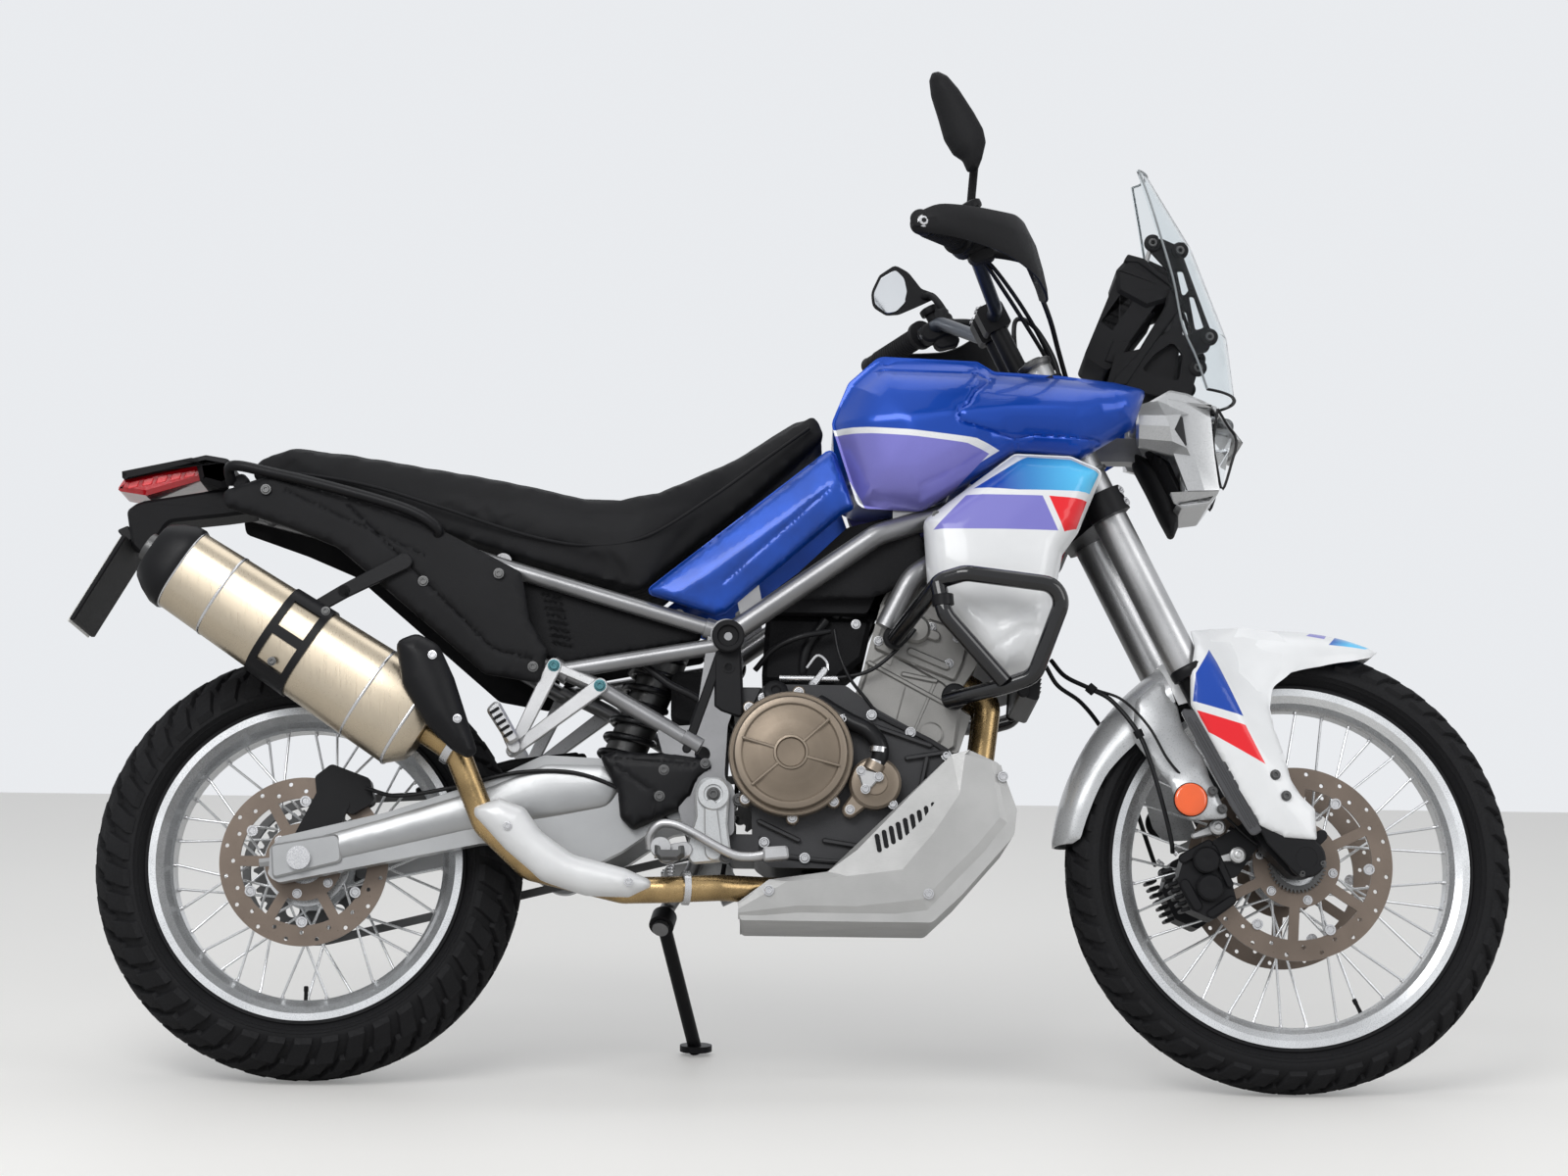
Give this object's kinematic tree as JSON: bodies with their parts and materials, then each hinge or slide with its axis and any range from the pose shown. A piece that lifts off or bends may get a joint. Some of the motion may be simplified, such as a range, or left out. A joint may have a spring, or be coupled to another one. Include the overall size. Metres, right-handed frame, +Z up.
{
  "type": "adventure motorcycle",
  "caption": "Adventure motorcycle in blue and white with spoked wheels, side muffler and crash bars, parked on its side stand.",
  "frame": {"origin": "on the ground under the middle of the bike's outer box", "axes": "+X towards the front wheel, +Y to the rider's left, +Z up; the bike leans left onto its side stand"},
  "size_m": [2.2495, 0.8941, 1.5682],
  "materials": {
    "frame_grey": "satin",
    "engine_metal": "satin cast",
    "cover_metal": "satin",
    "head_metal": "cast",
    "radiator_black": "satin",
    "pipe_steel": "heat tinted",
    "muffler_steel": "brushed",
    "black_plastic": "matte",
    "silver_metal": "satin",
    "black_steel": "gloss",
    "blue_paint": "gloss metallic",
    "blue_plastic": "gloss metallic",
    "white_plastic": "gloss",
    "silver_plastic": "satin",
    "lamp_lens": "clear",
    "clear_screen": "clear",
    "seat_vinyl": "fine grain",
    "red_lens": "gloss",
    "axle_steel": "satin",
    "caliper_black": "satin",
    "fork_grey": "satin",
    "fork_black": "satin",
    "smoked_plastic": "smoked",
    "bar_grey": "satin",
    "grip_rubber": "ribbed",
    "tyre_rubber": "matte",
    "rim_silver": "satin",
    "disc_steel": "drilled",
    "stand_steel": "satin"
  },
  "bodies": {
    "chassis": {"main_frame": "frame_grey", "engine_case": "engine_metal", "engine_covers": "cover_metal", "cylinder_head": "head_metal", "radiator": "radiator_black", "exhaust_pipes": "pipe_steel", "muffler": "muffler_steel", "muffler_cap": "black_plastic", "muffler_strap": "black_plastic", "muffler_shield": "black_plastic", "pipe_shield": "silver_metal", "skid_plate": "silver_metal", "crash_bars": "black_steel", "air_box": "black_plastic", "fuel_tank": "blue_paint", "tank_panels": "blue_plastic", "lower_panels": "blue_plastic", "shrouds": "white_plastic", "headlight_surround": "silver_plastic", "headlight": "lamp_lens", "windscreen": "clear_screen", "cockpit": "black_plastic", "seat": "seat_vinyl", "side_covers": "black_plastic", "grab_rails": "black_plastic", "tail_light": "red_lens", "plate_holder": "black_plastic", "swingarm": "silver_metal", "rear_axle": "axle_steel", "rear_caliper": "caliper_black", "rear_shock": "axle_steel", "chain": "axle_steel", "front_sprocket": "axle_steel", "foot_pegs": "silver_metal", "foot_levers": "silver_metal"},
    "steering": {"triple_clamps": "caliper_black", "fork_tubes": "fork_grey", "fork_legs": "fork_black", "fork_guards": "smoked_plastic", "front_fender": "white_plastic", "handlebar": "bar_grey", "bar_grips": "grip_rubber", "bar_controls": "black_plastic", "handguards": "black_plastic", "mirrors": "black_plastic", "front_calipers": "caliper_black"},
    "front_wheel": {"front_tyre": "tyre_rubber", "front_rim": "rim_silver", "front_discs": "disc_steel"},
    "rear_wheel": {"rear_tyre": "tyre_rubber", "rear_rim": "rim_silver", "rear_disc": "disc_steel", "rear_sprocket": "axle_steel"},
    "side_stand": {"side_stand": "stand_steel"}
  },
  "joints": [
    {"name": "steering_turn", "type": "hinge", "parent": "chassis", "child": "steering", "pos_m": [0.39138, -0.0506, 0.95686], "axis": [-0.4493, 0.1857, 0.8738], "range_deg": [-39.8, 32.2]},
    {"name": "front_wheel_spin", "type": "hinge", "parent": "steering", "child": "front_wheel", "pos_m": [0.7705, -0.17758, 0.34148], "axis": [-0.0592, 0.9698, -0.2366], "continuous": true},
    {"name": "rear_wheel_spin", "type": "hinge", "parent": "chassis", "child": "rear_wheel", "pos_m": [-0.75492, -0.18439, 0.32747], "axis": [0, 0.9781, -0.2079], "continuous": true},
    {"name": "side_stand_fold", "type": "hinge", "parent": "chassis", "child": "side_stand", "pos_m": [-0.20691, -0.08152, 0.23426], "axis": [0.1681, 0.8505, 0.4984], "range_deg": [0, 100]}
  ]
}
